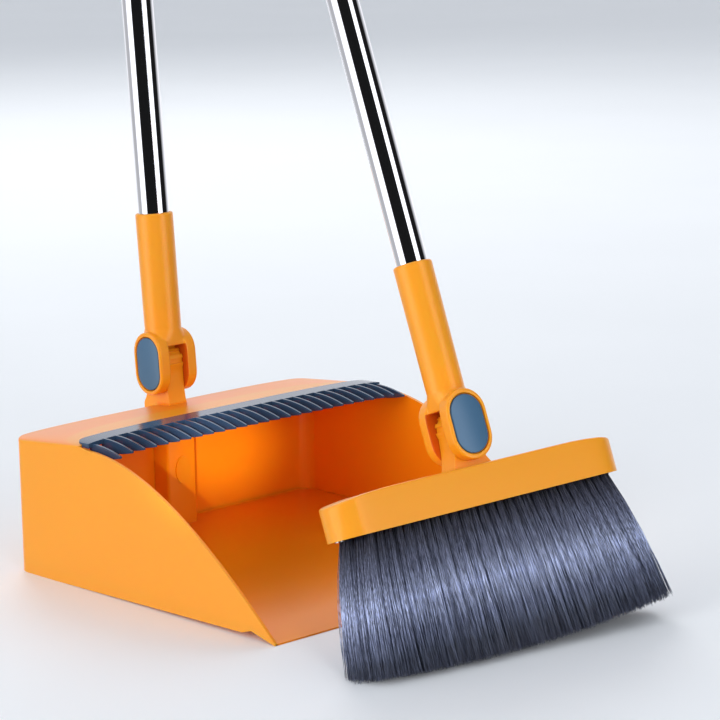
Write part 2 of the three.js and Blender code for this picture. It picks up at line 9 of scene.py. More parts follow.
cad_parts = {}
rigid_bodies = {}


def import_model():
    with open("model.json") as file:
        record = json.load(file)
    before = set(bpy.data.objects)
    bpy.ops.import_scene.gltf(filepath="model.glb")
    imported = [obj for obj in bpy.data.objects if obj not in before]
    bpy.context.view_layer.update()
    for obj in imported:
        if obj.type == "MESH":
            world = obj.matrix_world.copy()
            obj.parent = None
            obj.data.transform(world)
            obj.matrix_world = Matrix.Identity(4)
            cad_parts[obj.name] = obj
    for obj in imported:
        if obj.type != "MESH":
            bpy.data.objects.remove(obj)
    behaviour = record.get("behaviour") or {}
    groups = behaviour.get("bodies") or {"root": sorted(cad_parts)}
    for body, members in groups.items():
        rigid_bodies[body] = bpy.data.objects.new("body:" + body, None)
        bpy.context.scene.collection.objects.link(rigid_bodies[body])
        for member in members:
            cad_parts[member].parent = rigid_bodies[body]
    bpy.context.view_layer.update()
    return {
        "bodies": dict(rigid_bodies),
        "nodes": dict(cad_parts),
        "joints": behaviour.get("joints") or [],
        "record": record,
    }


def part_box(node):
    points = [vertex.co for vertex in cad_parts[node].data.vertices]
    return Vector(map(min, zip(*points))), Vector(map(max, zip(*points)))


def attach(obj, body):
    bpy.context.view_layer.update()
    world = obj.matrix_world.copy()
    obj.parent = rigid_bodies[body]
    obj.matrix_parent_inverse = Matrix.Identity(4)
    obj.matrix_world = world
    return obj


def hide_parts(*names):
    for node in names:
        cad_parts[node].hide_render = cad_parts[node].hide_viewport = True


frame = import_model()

joints = {joint["name"]: joint for joint in frame["record"]["behaviour"]["joints"]}


# ---- Camera ------------------------------------------------------------------------------------
# A long lens stands off to the left of the pan's mouth, a little above the cover's height, and
# looks slightly down at both tools.
pan_low, pan_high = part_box("pan_shell")
pan_origin = Vector(((pan_low.x + pan_high.x) / 2, pan_low.y, 0))
view_turn, view_drop, view_roll = map(math.radians, (43.28, 11.28, -1.11))
view_distance = 2.0775
ahead = Vector((
    math.sin(view_turn) * math.cos(view_drop),
    math.cos(view_turn) * math.cos(view_drop),
    -math.sin(view_drop),
))
level_right = Vector((math.cos(view_turn), -math.sin(view_turn), 0))
level_up = level_right.cross(ahead)
right = level_right * math.cos(view_roll) + level_up * math.sin(view_roll)
up = level_up * math.cos(view_roll) - level_right * math.sin(view_roll)
look_at = pan_origin + Vector((0, 0.1122, 0.0468)) + right * 0.0293 + up * 0.1079

camera = bpy.data.objects.new("camera", bpy.data.cameras.new("camera"))
scene = bpy.context.scene
scene.collection.objects.link(camera)
camera.data.lens = 144.1
camera.data.sensor_width = 36
camera.data.clip_end = 60
facing = Matrix((right, up, -ahead)).transposed().to_4x4()
camera.matrix_world = Matrix.Translation(look_at - ahead * view_distance) @ facing
scene.camera = camera
scene.view_settings.view_transform = "Standard"


# ---- Floor and light ---------------------------------------------------------------------------
# A pale, smooth floor under a bright, even studio. Upright softboxes with dark gaps between them
# are what the polished poles reflect, and the studio shows those to reflections only.
class Signal:
    """One socket of a node tree. Arithmetic on it adds Math nodes; make adds any other node."""

    def __init__(self, tree, socket=None):
        self.tree = tree
        self.socket = socket

    def make(self, kind, settings, sockets, output=0):
        node = self.tree.nodes.new("ShaderNode" + kind)
        for field, value in settings.items():
            if field == "stops":
                self.set_stops(node.color_ramp, value)
            else:
                setattr(node, field, value)
        for key, value in sockets.items():
            if isinstance(value, Signal):
                self.tree.links.new(value.socket, node.inputs[key])
            else:
                node.inputs[key].default_value = value
        return Signal(self.tree, node.outputs[output])

    @staticmethod
    def set_stops(ramp, stops):
        while len(ramp.elements) < len(stops):
            ramp.elements.new(0.5)
        for element, (position, color) in zip(ramp.elements, stops):
            element.position = position
            element.color = color

    def math(self, operation, *values):
        return self.make("Math", {"operation": operation}, dict(enumerate(values)))

    def least(self, other):
        return self.math("MINIMUM", self, other)

    def axis(self, name):
        return self.make("SeparateXYZ", {}, {"Vector": self}, name)

    def dot(self, vector):
        return self.make("VectorMath", {"operation": "DOT_PRODUCT"}, {0: self, 1: vector}, "Value")

    def mix(self, low, high):
        sockets = {"Factor": self, "A": low, "B": high}
        return self.make("Mix", {"data_type": "RGBA"}, sockets, "Result")

    def __abs__(self):
        return self.math("ABSOLUTE", self)

    def __add__(self, other):
        return self.math("ADD", self, other)

    def __sub__(self, other):
        return self.math("SUBTRACT", self, other)

    def __rsub__(self, other):
        return self.math("SUBTRACT", other, self)

    def __mul__(self, other):
        return self.math("MULTIPLY", self, other)

    __radd__ = __add__
    __rmul__ = __mul__


def new_material(name, finish):
    """A material whose surface is one Principled shader; finish holds its fixed sockets."""
    material = bpy.data.materials.new(name)
    material.use_nodes = True
    tree = material.node_tree
    tree.nodes.clear()
    shader = tree.nodes.new("ShaderNodeBsdfPrincipled")
    output = tree.nodes.new("ShaderNodeOutputMaterial")
    tree.links.new(shader.outputs["BSDF"], output.inputs["Surface"])
    for key, value in finish.items():
        shader.inputs[key].default_value = value
    return material, shader, Signal(tree)


def drive(shader, key, signal):
    signal.tree.links.new(signal.socket, shader.inputs[key])


floor_radius = 14
floor_mesh = bmesh.new()
bmesh.ops.create_circle(floor_mesh, cap_ends=True, radius=floor_radius, segments=96)
floor_data = bpy.data.meshes.new("floor")
floor_mesh.to_mesh(floor_data)
floor_mesh.free()
floor = bpy.data.objects.new("floor", floor_data)
scene.collection.objects.link(floor)
floor.visible_glossy = False
floor_material, floor_shader, wire = new_material("pale_floor", {"Roughness": 0.6})
spots = wire.make("TexNoise", {}, {
    "Vector": wire.make("TexCoord", {}, {}, "Object"), "Scale": 3.0, "Detail": 4.0,
})
drive(floor_shader, "Base Color", spots.mix((0.88, 0.90, 0.92, 1), (0.92, 0.94, 0.96, 1)))
floor_data.materials.append(floor_material)

world = bpy.data.worlds.new("studio")
scene.world = world
world.use_nodes = True
world.node_tree.nodes.clear()
sky = Signal(world.node_tree)
direction = sky.make("TexCoord", {}, {}, "Generated")
camera_bearing = math.atan2(-ahead.y, -ahead.x)
bearing = sky.math("ARCTAN2", direction.axis("Y"), direction.axis("X"))
turn = (bearing - camera_bearing) * (1 / math.tau)
around = sky.math("WRAP", turn, 1, 0)
DARK, GREY, BRIGHT, WHITE = ((v, v, v * 1.04, 1) for v in (0.015, 0.75, 1.5, 3.4))
softboxes = sky.make("ValToRGB", {"stops": [
    (0.0, DARK), (0.10, DARK), (0.115, WHITE), (0.185, WHITE), (0.205, DARK), (0.31, DARK),
    (0.35, GREY), (0.41, BRIGHT), (0.59, BRIGHT), (0.66, GREY), (0.74, GREY), (0.79, WHITE),
    (0.862, WHITE), (0.88, DARK), (1.0, DARK),
]}, {"Fac": around})
seen = sky.make("LightPath", {}, {}, "Is Camera Ray")
glossy = sky.make("LightPath", {}, {}, "Is Glossy Ray")
backdrop = seen.mix((0.74, 0.78, 0.84, 1), (0.86, 0.88, 0.90, 1))
background = sky.make("Background", {}, {
    "Color": glossy.mix(backdrop, softboxes), "Strength": 0.76,
})
world_output = world.node_tree.nodes.new("ShaderNodeOutputWorld")
world.node_tree.links.new(background.socket, world_output.inputs["Surface"])


def lamp(name, kind, spot, target, power, settings):
    """A light that is aimed at a target and isn't itself seen in reflections."""
    light = bpy.data.lights.new(name, kind)
    light.energy = power
    for field, value in settings.items():
        setattr(light, field, value)
    holder = bpy.data.objects.new(name, light)
    scene.collection.objects.link(holder)
    holder.location = spot
    holder.rotation_euler = (Vector(target) - Vector(spot)).to_track_quat("-Z", "Y").to_euler()
    holder.visible_glossy = False


lamp("key", "AREA", (-3.2, -0.2, 1.0), (0, 0, 0.05), 40, {"shape": "DISK", "size": 1.6})
lamp("back", "AREA", (1.6, 2.4, 2.2), (0.05, 0.1, 0.05), 36, {"shape": "DISK", "size": 1.6})
lamp("front", "AREA", (-1.1, -2.5, 0.9), (0.02, 0.1, 0.05), 18, {"shape": "DISK", "size": 0.8})
# A narrow beam brightens the rear wall beside the post.
lamp("inside", "SPOT", (-1.32, -1.27, 0.42), (0.060, 0.19, 0.058), 150, {
    "spot_size": math.radians(2.3), "spot_blend": 0.4, "shadow_soft_size": 0.02,
})


# ---- Dustpan moulding --------------------------------------------------------------------------
# One injection moulding in satin orange polypropylene, about 2.4 mm thick: side walls that fall to
# a lip, a rear wall, a crowned cover and a raised floor. A post inside the rear wall and a rib
# outside it carry the hinge lug that stands on the cover.
MM = Matrix.Scale(0.001, 4)
pan_place = Matrix.Translation(pan_origin) @ MM
pan_half, pan_depth, pan_wall = 145, 284, 2.4
rear_height, rear_round = 95.6, 14
cover_front, slope_end, cover_rise = 204, 208, 6.8
crown_rise, crown_power = 5.4, 3.5
brow = Vector((195, 102.8))
lip_thick, ramp_y, ramp_z = 1.1, 24, 5.7
floor_thick, floor_rear, floor_fillet, fillet_sink = 2.2, 9.5, 2.5, 0.25
pin_y, pin_z = 281, 134
lug_thick, lug_radius, pin_radius = 16.2, 11, 3


def draw(mesh, corners):
    """One flat face through its corners."""
    return mesh.faces.new([mesh.verts.new(corner) for corner in corners])


def push(mesh, face, travel):
    """Draws a lone face out into a closed body."""
    made = bmesh.ops.extrude_face_region(mesh, geom=[face])["geom"]
    moved = [part for part in made if isinstance(part, bmesh.types.BMVert)]
    bmesh.ops.translate(mesh, verts=moved, vec=travel)
    bmesh.ops.recalc_face_normals(mesh, faces=mesh.faces)
    return mesh


def bar(low_x, high_x, section):
    """A closed bar along X from its section, drawn as (y, z)."""
    mesh = bmesh.new()
    return push(mesh, draw(mesh, [(low_x, y, z) for y, z in section]), (high_x - low_x, 0, 0))


def rectangle(low_u, high_u, low_v, high_v):
    return [(low_u, low_v), (high_u, low_v), (high_u, high_v), (low_u, high_v)]


def arc(center_u, center_v, radius, start, end, steps):
    """Points on an arc, with its angles in degrees from the first axis."""
    angles = [math.radians(start + (end - start) * i / steps) for i in range(steps + 1)]
    return [(center_u + radius * math.cos(a), center_v + radius * math.sin(a)) for a in angles]


def round_off(mesh, edges, radius, segments):
    bmesh.ops.bevel(
        mesh, geom=list(edges), offset=radius, offset_type="OFFSET", segments=segments,
        profile=0.5, affect="EDGES", material=-1, clamp_overlap=True,
    )


def upright_edges(mesh, test):
    """The edges along Z whose place (x, y) passes the test."""
    found = []
    for edge in mesh.edges:
        low, high = edge.verts[0].co, edge.verts[1].co
        if (low - high).xy.length < 1e-4 and test(low.x, low.y):
            found.append(edge)
    return found


def hold(mesh):
    """A bmesh as an object for as long as a modifier needs it."""
    data = bpy.data.meshes.new("work")
    mesh.to_mesh(data)
    mesh.free()
    held = bpy.data.objects.new("work", data)
    scene.collection.objects.link(held)
    return held


def shaped(mesh, *modifiers):
    """The bmesh that comes out of a stack of modifiers; a modifier may use another bmesh."""
    held = [hold(mesh)]
    for kind, settings in modifiers:
        modifier = held[0].modifiers.new(kind, kind)
        for field, value in settings.items():
            if field == "object":
                held.append(hold(value))
                value = held[-1]
            setattr(modifier, field, value)
    result = bmesh.new()
    result.from_object(held[0], bpy.context.evaluated_depsgraph_get())
    for work in held:
        data = work.data
        bpy.data.objects.remove(work)
        bpy.data.meshes.remove(data)
    return result


def boolean(mesh, tool, operation="DIFFERENCE"):
    settings = {"object": tool, "operation": operation, "solver": "EXACT"}
    return shaped(mesh, ("BOOLEAN", settings))


def joined(*meshes):
    """Several closed bodies in one bmesh."""
    for extra in meshes[1:]:
        data = bpy.data.meshes.new("work")
        extra.to_mesh(data)
        extra.free()
        meshes[0].from_mesh(data)
        bpy.data.meshes.remove(data)
    return meshes[0]


def add_piece(name, mesh, place, material, body, nodes, edge=0.0005):
    """Puts a finished bmesh into the scene; edge is the radius of its finely rounded edges."""
    bmesh.ops.transform(mesh, matrix=place, verts=mesh.verts)
    data = bpy.data.meshes.new(name)
    mesh.to_mesh(data)
    mesh.free()
    data.shade_smooth()
    data.materials.append(material)
    piece = bpy.data.objects.new(name, data)
    scene.collection.objects.link(piece)
    if edge:
        rounding = piece.modifiers.new("edges", "BEVEL")
        rounding.width = edge
        rounding.segments = 2
        rounding.limit_method = "ANGLE"
        rounding.angle_limit = math.radians(38)
        rounding.harden_normals = True
    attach(piece, body)
    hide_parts(*nodes)


def cover_line(y):
    return rear_height + cover_rise * (pan_depth - y) / (pan_depth - slope_end)


def crown(x):
    share = min(abs(x) / pan_half, 1)
    return crown_rise * (1 - share ** crown_power) ** (1 / crown_power)


def crown_cuts(mesh, half, lift_above):
    """Splits a body across X, closely towards its ends, and lifts what is above a height."""
    steps = 26
    for i in range(1 - steps, steps):
        cut = half * math.sin(math.pi / 2 * i / steps)
        parts = list(mesh.verts) + list(mesh.edges) + list(mesh.faces)
        bmesh.ops.bisect_plane(mesh, geom=parts, plane_co=(cut, 0, 0), plane_no=(1, 0, 0))
    for vert in mesh.verts:
        if vert.co.z > lift_above:
            vert.co.z += crown(vert.co.x)


lip_tip = Vector((0, lip_thick))
front_edge = geometry.interpolate_bezier(
    brow, Vector((130, 103)), Vector((62, 56)), lip_tip, 22,
)
ramp_back, arch_back = (33, 2.9), (236, 0)
side = [
    (0, 0), (ramp_y, ramp_z), ramp_back, arch_back, (pan_depth, 0), (pan_depth, rear_height),
    (cover_front, cover_line(cover_front)), *[(point.x, point.y) for point in front_edge],
]
walls = bar(-pan_half, pan_half, side)
open_faces = []
for face in walls.faces:
    middle = face.calc_center_median()
    is_cover = middle.y > cover_front and middle.z > rear_height
    if abs(face.normal.x) < 0.5 and face.normal.y < 0.9 and not is_cover:
        open_faces.append(face)
bmesh.ops.delete(walls, geom=open_faces, context="FACES")
round_off(walls, upright_edges(walls, lambda x, y: y > pan_depth - 1), rear_round, 8)
top_edges = []
for edge in walls.edges:
    slopes = sorted(abs(face.normal.z) for face in edge.link_faces)
    if len(slopes) == 2 and slopes[0] < 0.3 and slopes[1] > 0.9:
        top_edges.append(edge)
top_round, well_below_cover = 2.2, 60
round_off(walls, top_edges, top_round, 3)
crown_cuts(walls, pan_half, well_below_cover)
walls = shaped(walls, (
    "SOLIDIFY", {"thickness": pan_wall, "offset": -1, "use_even_offset": True},
))

inner_depth = pan_depth - pan_wall
buried = 1.2
slab_half, slab_back = pan_half - buried, inner_depth + buried
fillet_top = floor_rear + floor_fillet
fillet_y = inner_depth + fillet_sink - floor_fillet
slab = bar(-slab_half, slab_half, [
    (0, 0), (ramp_y, ramp_z), (slab_back, floor_rear - floor_thick), (slab_back, fillet_top),
    *arc(fillet_y, fillet_top, floor_fillet, 0, -90, 8),
    (ramp_y - 2, ramp_z + floor_thick), (0, lip_thick),
])
plan_low, plan_tall = -5, 40
plan = bmesh.new()
push(plan, draw(plan, [
    (x, y, plan_low) for x, y in rectangle(-slab_half, slab_half, plan_low, slab_back)
]), (0, 0, plan_tall))
round_off(plan, upright_edges(plan, lambda x, y: y > 0), rear_round - buried, 8)
slab = boolean(slab, plan, "INTERSECT")

post_front, post_half, post_foot, post_round = 265, 14, 8, 2.5
post_top = cover_line(post_front) + 3
post = bar(
    -post_half, post_half, rectangle(post_front, pan_depth - 1, post_foot, post_top),
)
round_off(post, upright_edges(post, lambda x, y: y < post_front + 1), post_round, 4)
rib_half, rib_top, rib_back = 10.5, 95, pin_y + 16
rib = bar(-rib_half, rib_half, rectangle(pan_depth - 1.5, rib_back, 0, rib_top))
round_off(rib, upright_edges(rib, lambda x, y: y > pan_depth), post_round, 4)
pad_half_width, pad_half_height, pad_z, pad_thick = 7, 10.5, 52, 1.3
pad = bmesh.new()
bmesh.ops.create_circle(pad, cap_ends=True, radius=1, segments=40)
bmesh.ops.scale(pad, vec=(pad_half_width, pad_half_height, 1), verts=pad.verts)
quarter_x = Matrix.Rotation(math.pi / 2, 3, "X")
bmesh.ops.rotate(pad, cent=(0, 0, 0), matrix=quarter_x, verts=pad.verts)
bmesh.ops.translate(pad, vec=(0, post_front + 1, pad_z), verts=pad.verts)
pad.faces.ensure_lookup_table()
push(pad, pad.faces[0], (0, -1 - pad_thick, 0))


def rod_x(radius, half, segments=40):
    """A closed round bar along X, centred on the origin."""
    mesh = bmesh.new()
    bmesh.ops.create_cone(
        mesh, cap_ends=True, segments=segments, radius1=radius, radius2=radius, depth=2 * half,
    )
    quarter = Matrix.Rotation(math.pi / 2, 3, "Y")
    bmesh.ops.rotate(mesh, cent=(0, 0, 0), matrix=quarter, verts=mesh.verts)
    return mesh


def hinge_lug(foot_front, foot_back, foot_low):
    """The lug about the pin: a round head with click notches on a neck that flares to its foot."""
    head = arc(0, 0, lug_radius, -25, 205, 40)
    neck_half, neck_z, flare_front, flare_back, flare_z = 10.6, -13, 11.5, 12, foot_low + 6
    front = geometry.interpolate_bezier(
        Vector(head[-1]), Vector((-neck_half, neck_z)), Vector((-flare_front, flare_z)),
        Vector((-foot_front, foot_low)), 7,
    )
    back = geometry.interpolate_bezier(
        Vector((foot_back, foot_low)), Vector((flare_back, flare_z)), Vector((neck_half, neck_z)),
        Vector(head[0]), 7,
    )
    low = foot_low - 8
    outline = head + [(p.x, p.y) for p in front[1:]] + [(-foot_front, low), (foot_back, low)]
    outline += [(p.x, p.y) for p in back[:-1]]
    lug = bar(-lug_thick / 2, lug_thick / 2, outline)
    notch_half, notch_deep = 1.8, 1.4
    for degrees in (-84, -50, -18, 18, 50, 84):
        notch = bar(-lug_thick, lug_thick, rectangle(
            -notch_half, notch_half, lug_radius - notch_deep, lug_radius + 3,
        ))
        turned = Matrix.Rotation(math.radians(degrees), 3, "X")
        bmesh.ops.rotate(notch, cent=(0, 0, 0), matrix=turned, verts=notch.verts)
        lug = boolean(lug, notch)
    return boolean(lug, rod_x(pin_radius + 0.2, lug_thick))


lug_foot_z = -32.5
lug = hinge_lug(14, 17, lug_foot_z)
bmesh.ops.translate(lug, vec=(0, pin_y, pin_z), verts=lug.verts)


def moulded(name, color, shade, gloss, glow=0.0, inside=None, deep=None):
    """Satin plastic with faint flow marks and a fine grain; deep is light and shade painted in a
    hollow.
    """
    material, shader, wire = new_material(name, {
        "IOR": 1.49, "Subsurface Weight": glow, "Subsurface Scale": 0.005,
        "Subsurface Radius": (1.0, 0.35, 0.06),
    })
    coords = wire.make("TexCoord", {}, {}, "Object")
    flow = wire.make("TexNoise", {}, {"Vector": coords, "Scale": 9.0, "Detail": 3.0})
    grain = wire.make("TexNoise", {}, {"Vector": coords, "Scale": 1400.0, "Detail": 2.0})
    tint = flow.mix(color, shade)
    if inside:
        tint = inside(coords).mix(tint, deep)
    drive(shader, "Base Color", tint)
    drive(shader, "Roughness", flow * 0.06 + grain * 0.05 + gloss)
    bump = wire.make("Bump", {}, {"Height": grain, "Strength": 0.12, "Distance": 0.00006})
    drive(shader, "Normal", bump)
    return material


def hollow(frame, half_x, high_y, high_z):
    """Finds what lies within a hollow (sides in a piece's frame, in mm), where light and shade are
    painted.
    """
    inverse = frame.inverted()
    soft_edge = 0.6

    def inside(coords):
        x, y, z = (coords.dot(row.xyz) + row[3] for row in inverse[:3])
        room = (half_x - abs(x)).least(high_y - y).least(high_z - z)
        return room.make("MapRange", {}, {"Value": room, "From Min": 0.0, "From Max": soft_edge})

    return inside


orange_look = (0.93, 0.345, 0.012, 1), (0.91, 0.325, 0.010, 1), 0.27, 0.35
orange = moulded("orange_plastic", *orange_look)
# Painted light: the pan's inside is painted a redder orange, standing in for light that has
# passed the thin walls and bounced about inside.
pan_inside_painted_light = hollow(
    pan_place, pan_half - pan_wall / 2, pan_depth - pan_wall / 2, cover_line(cover_front) + 1.5,
)
pan_orange_painted_inside = moulded("pan_plastic_painted_inside", *orange_look, pan_inside_painted_light, (0.97, 0.265, 0.004, 1))
pan_mesh = joined(walls, slab, post, rib, pad, lug)
add_piece("pan_moulding", pan_mesh, pan_place, pan_orange_painted_inside, "pan", ["pan_shell"], 0.0006)


# ---- Comb --------------------------------------------------------------------------------------
# A separate blue-grey strip clipped over the cover's front edge. Its row of thin curved blades
# combs hair and fluff out of the broom.
navy = moulded("navy_plastic", (0.036, 0.072, 0.135, 1), (0.030, 0.062, 0.12, 1), 0.12)
strip_back, strip_front, strip_half, strip_thick, strip_round = 212.5, 196, 142.3, 2, 13
hook, seat = 203.7, 0.3
tooth_root, tooth_tip, tooth_count, tooth_span, tooth_thick = 199, 165, 27, 138, 1.8
tooth_stations, tooth_deep, tooth_taper, tooth_fall, end_tooth_drop = 9, 10.6, 9.2, 0.005, 1.2
strip_under = cover_line(cover_front) - pan_wall + 0.6


def comb_top(y):
    return cover_line(max(y, slope_end)) + strip_thick - tooth_fall * max(brow.x - y, 0) ** 2


comb = bar(-strip_half, strip_half, [
    (strip_back, cover_line(strip_back) + seat), (strip_back, comb_top(strip_back)),
    (strip_front, comb_top(strip_front)), (strip_front, strip_under), (hook, strip_under),
    (hook, cover_line(cover_front) + seat),
])
round_off(comb, upright_edges(comb, lambda x, y: y > strip_back - 1), strip_round, 6)
crown_cuts(comb, strip_half, 0)
for i in range(tooth_count):
    x = tooth_span * (2 * i / (tooth_count - 1) - 1)
    lift = crown(x) - (end_tooth_drop if i in (0, tooth_count - 1) else 0)
    shares = [k / tooth_stations for k in range(tooth_stations + 1)]
    stations = [tooth_root + (tooth_tip - tooth_root) * share for share in shares]
    top = [(y, comb_top(y) + lift) for y in stations]
    depths = [tooth_deep - tooth_taper * share ** 2 for share in shares]
    under = [(y, z - depth) for (y, z), depth in zip(top, depths)]
    comb = joined(comb, bar(x - tooth_thick / 2, x + tooth_thick / 2, top + under[::-1]))
add_piece("comb", comb, pan_place, navy, "pan", ["comb_strip"], 0.0004)


# ---- Hinge forks -------------------------------------------------------------------------------
# Each pole stands in an orange moulded collar whose foot divides into two ears. The ears clasp the
# lug, and the fork turns about the bolt through them. Both forks are the same but for the bore.
pan_lean = math.radians(-4.1)
broom_yaw, broom_lean, broom_roll = map(math.radians, (-9.4, -20.2, -2.9))
pan_pin = Matrix.Translation(Vector(joints["pan_pole_fold"]["pos_m"]))
broom_pin = Matrix.Translation(Vector(joints["broom_pole_fold"]["pos_m"]))
broom_turn = (
    Matrix.Rotation(broom_yaw, 4, "Z") @ Matrix.Rotation(broom_lean, 4, "X")
    @ Matrix.Rotation(broom_roll, 4, "Y")
)
pan_pole_place = pan_pin @ Matrix.Rotation(pan_lean, 4, "X") @ MM
broom_pole_place = broom_pin @ broom_turn @ Matrix.Rotation(math.pi / 2, 4, "Z") @ MM
ear_inner, ear_outer, ear_half_width, ear_half_height, ear_round = 8.4, 17.8, 16, 24, 1.8
cap_half_width, cap_half_height, cap_thick = 13.2, 20.4, 2.4
bridge, collar_foot, collar_rim, socket_floor, shoulder_half = 12.6, 27, 113, 42, 13
collar_wall, cap_gap, nut_sink, nut_room = 2.5, 0.35, 4, 6.5


def stadium(half_u, half_v, steps=14):
    """An upright oval with round ends and straight sides."""
    straight = half_v - half_u
    return arc(0, straight, half_u, 0, 180, steps) + arc(0, -straight, half_u, 180, 360, steps)


def spun(outline, segments=72):
    """A body turned about Z from its closed (radius, height) outline."""
    mesh = bmesh.new()
    verts = [mesh.verts.new((radius, 0, height)) for radius, height in outline]
    edges = [mesh.edges.new((a, b)) for a, b in zip(verts, verts[1:] + verts[:1])]
    bmesh.ops.spin(
        mesh, geom=verts + edges, cent=(0, 0, 0), axis=(0, 0, 1), angle=math.tau, steps=segments,
        use_merge=True, use_duplicate=False,
    )
    bmesh.ops.remove_doubles(mesh, verts=mesh.verts, dist=1e-4)
    loose = [face for face in mesh.faces if face.calc_area() < 1e-9]
    bmesh.ops.delete(mesh, geom=loose, context="FACES")
    wires = [edge for edge in mesh.edges if not edge.link_faces]
    bmesh.ops.delete(mesh, geom=wires, context="EDGES")
    bmesh.ops.recalc_face_normals(mesh, faces=mesh.faces)
    return mesh


def ear(side):
    near, far = sorted((side * ear_inner, side * ear_outer))
    mesh = bar(near, far, stadium(ear_half_width, ear_half_height))
    rim = [e for e in mesh.edges if all(abs(v.co.x - side * ear_outer) < 1e-4 for v in e.verts)]
    round_off(mesh, rim, ear_round, 4)
    return mesh


def shoulders(rim):
    """Widens the round collar smoothly into the two ears."""
    mesh = bmesh.new()
    bmesh.ops.create_circle(mesh, radius=rim - 0.3, segments=48)
    bmesh.ops.translate(mesh, vec=(0, 0, collar_foot - 2), verts=mesh.verts)
    wide, deep, corner, low, high = ear_outer - 1, shoulder_half, 6, 2, bridge - 3
    for height in (low, high):
        for u, v, start in ((1, 1, 0), (-1, 1, 90), (-1, -1, 180), (1, -1, 270)):
            for x, y in arc(u * (wide - corner), v * (deep - corner), corner, start, start + 90, 5):
                mesh.verts.new((x, y, height))
    hull = bmesh.ops.convex_hull(mesh, input=mesh.verts)
    inside = [part for part in hull["geom_interior"] if isinstance(part, bmesh.types.BMVert)]
    bmesh.ops.delete(mesh, geom=inside, context="VERTS")
    bmesh.ops.recalc_face_normals(mesh, faces=mesh.faces)
    return mesh


def hinge_fork(pole_radius):
    rim, bore = pole_radius + collar_wall, pole_radius + 0.3
    fork = spun([
        (0, bridge), (rim - 1.5, bridge), (rim - 0.3, collar_foot), (rim, collar_rim - 1),
        (rim - 1, collar_rim), (bore, collar_rim), (bore, socket_floor), (0, socket_floor),
    ])
    for part in (shoulders(rim), ear(-1), ear(1)):
        fork = boolean(fork, part, "UNION")
    slot = bar(-ear_inner, ear_inner, rectangle(-40, 40, -40, bridge))
    fork = boolean(fork, slot)
    fork = boolean(fork, rod_x(pin_radius + 0.2, 30))
    for side in (-1, 1):
        floor_x, sink_x = ear_outer - cap_thick - 0.7, ear_outer - cap_thick - nut_sink
        for depth, outline in (
            (floor_x, stadium(cap_half_width + cap_gap, cap_half_height + cap_gap)),
            (sink_x, arc(0, 0, nut_room, 0, 345, 23)),
        ):
            near, far = sorted((side * depth, side * 30))
            fork = boolean(fork, bar(near, far, outline))
    return shaped(
        fork, ("REMESH", {"mode": "VOXEL", "voxel_size": 0.55, "use_smooth_shade": True}),
        ("SMOOTH", {"factor": 0.5, "iterations": 4}),
    )


poles = (
    ("pan", "pan_pole", 11.7, 345, 620, pan_pole_place),
    ("broom", "broom_pole", 10.8, 385, 700, broom_pole_place),
)
for label, body, radius, joint_z, top_z, place in poles:
    # The slot between the ears is painted a darker red, as painted shade.
    slot = hollow(place, ear_inner + 0.8, collar_rim, bridge + 0.8)
    slot_painted_shade = (0.62, 0.10, 0.004, 1)
    plastic = moulded(label + "_fork_plastic", *orange_look, slot, slot_painted_shade)
    nodes = [label + "_hinge_fork"]
    add_piece(label + "_fork", hinge_fork(radius), place, plastic, body, nodes, 0)


# ---- Hinge caps, bolts and nuts ----------------------------------------------------------------
# A blue-grey oval cap snaps into each ear and hides the zinc-plated bolt's head or its nut. The
# cap lies a little below the ear's rim, with a thin dark gap around it.
def plated(name, color, gloss):
    """Zinc-plated steel with a slightly mottled finish."""
    material, shader, wire = new_material(name, {"Metallic": 1.0})
    coords = wire.make("TexCoord", {}, {}, "Object")
    mottle = wire.make("TexNoise", {}, {"Vector": coords, "Scale": 700.0, "Detail": 4.0})
    drive(shader, "Base Color", mottle.mix(color, tuple(v * 0.8 for v in color[:3]) + (1,)))
    drive(shader, "Roughness", mottle * 0.2 + gloss)
    return material


def dress(node, material):
    """Gives a CAD node its real finish."""
    data = bpy.data.objects[node].data
    data.materials.clear()
    data.materials.append(material)


slate = moulded("slate_plastic", (0.060, 0.145, 0.250, 1), (0.052, 0.13, 0.225, 1), 0.24)
zinc = plated("zinc_steel", (0.60, 0.61, 0.63, 1), 0.25)
cap_sink, cap_shrink, cap_round = 0.5, 0.45, 0.8
cap_outline = stadium(cap_half_width - cap_shrink, cap_half_height - cap_shrink, 20)
for label, body, radius, joint_z, top_z, place in poles:
    for side_name, side in (("left", -1), ("right", 1)):
        outer = side * (ear_outer - cap_sink)
        near, far = sorted((outer, side * (ear_outer - cap_thick)))
        cap = bar(near, far, cap_outline)
        rim = [e for e in cap.edges if all(abs(v.co.x - outer) < 1e-4 for v in e.verts)]
        round_off(cap, rim, cap_round, 3)
        nodes = [f"{label}_hinge_cap_{side_name}"]
        add_piece(f"{label}_cap_{side_name}", cap, place, slate, body, nodes, 0.0002)
    dress(label + "_hinge_bolt", zinc)
    dress(label + "_hinge_nut", zinc)


# ---- Poles -------------------------------------------------------------------------------------
# Each pole is two lengths of thin polished stainless tube. A grey nylon plug fixes the lower one
# in the collar, and an orange threaded joiner with a narrow visible ring holds the two together.
nylon = moulded("grey_nylon", (0.25, 0.26, 0.28, 1), (0.21, 0.22, 0.24, 1), 0.4)
chrome, chrome_shader, wire = new_material("polished_tube", {"Metallic": 1.0})
coords = wire.make("TexCoord", {}, {}, "Object")
drawn = wire.make("Mapping", {}, {"Vector": coords, "Scale": (900, 900, 6)})
lines = wire.make("TexNoise", {}, {"Vector": drawn, "Scale": 1.0, "Detail": 3.0})
drive(chrome_shader, "Base Color", lines.mix((0.80, 0.81, 0.84, 1), (0.74, 0.75, 0.78, 1)))
drive(chrome_shader, "Roughness", lines * 0.04 + 0.035)
tube_wall, ring, ring_stand, ring_round, gap, spigot = 0.7, 7, 0.8, 0.6, 0.3, 26
